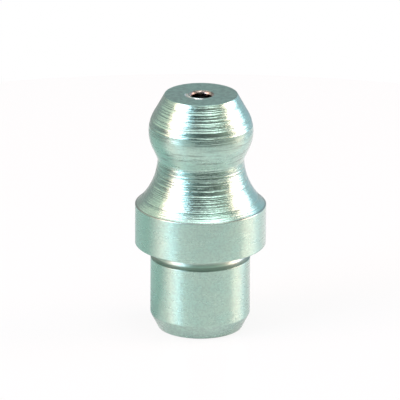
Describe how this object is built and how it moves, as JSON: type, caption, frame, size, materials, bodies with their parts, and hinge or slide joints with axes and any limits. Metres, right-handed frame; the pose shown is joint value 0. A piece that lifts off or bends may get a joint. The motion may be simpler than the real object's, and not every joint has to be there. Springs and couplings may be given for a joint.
{
  "type": "grease nipple",
  "caption": "Drive-in grease nipple: turned steel body with a conical head, waisted neck, collar and plain tapered shank, holding a sprung check ball.",
  "frame": {"origin": "centre of the shank's end face, on the nipple's axis", "axes": "+Z along the axis, from the shank's end towards the head; +X and +Y are equal, because the body is turned"},
  "size_m": [0.008, 0.008, 0.0149],
  "materials": {
    "plated_steel": "bright zinc plate over fine turning marks, satin",
    "ball_steel": "polished hardened steel",
    "spring_steel": "drawn spring wire, satin"
  },
  "bodies": {
    "nipple": {"body": "plated_steel", "spring": "spring_steel"},
    "ball": {"check_ball": "ball_steel"}
  },
  "joints": [
    {"name": "ball_lift", "type": "slide", "parent": "nipple", "child": "ball", "axis": [0, 0, -1], "range_m": [0, 0.0055], "stiffness_N_per_m": 1150, "springref_m": -0.0006, "deforming": ["spring"]}
  ]
}
